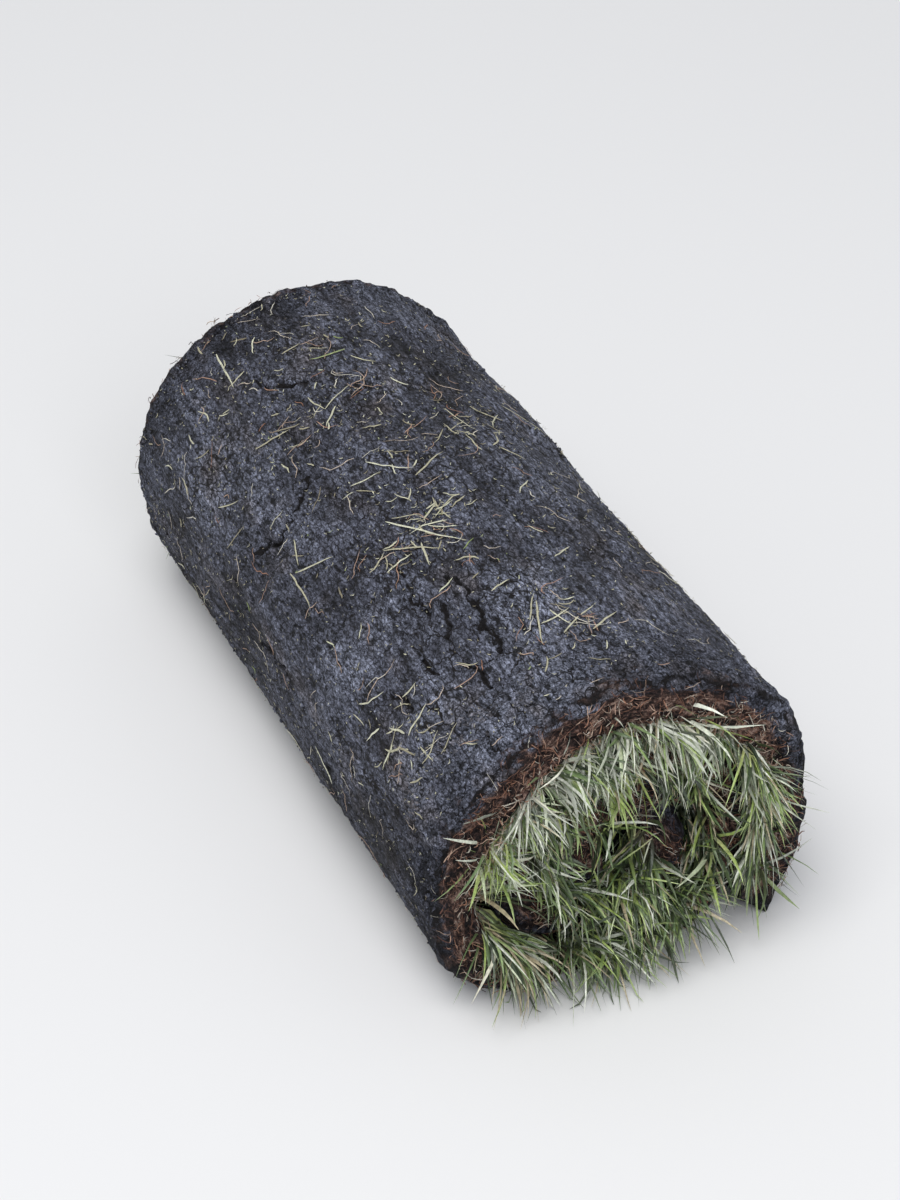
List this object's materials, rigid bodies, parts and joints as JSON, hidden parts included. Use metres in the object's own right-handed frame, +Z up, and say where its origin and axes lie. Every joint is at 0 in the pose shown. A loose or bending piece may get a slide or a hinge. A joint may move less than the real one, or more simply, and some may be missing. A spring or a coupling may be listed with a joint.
{
  "type": "roll of turf",
  "caption": "Slab of lawn turf rolled up soil side out, lying on its slumped underside, with its winding of mat and grass showing on both ends.",
  "frame": {"origin": "on the ground under the middle of the roll's bounding box", "axes": "+X along the roll, +Z up, the mat's outer end low on the +Y side"},
  "size_m": [0.67, 0.3164, 0.2653],
  "materials": {
    "soil": "damp crumbly black soil, matte, with fine crumbs, cracks and bits of dry grass",
    "thatch": "matte red-brown fibrous roots and thatch on the cut edge",
    "grass": "satin narrow grass blades, mid green with pale yellow-green bases",
    "straw": "matte dry tan grass clippings"
  },
  "bodies": {
    "root": {"turf_roll": "soil"}
  },
  "joints": []
}
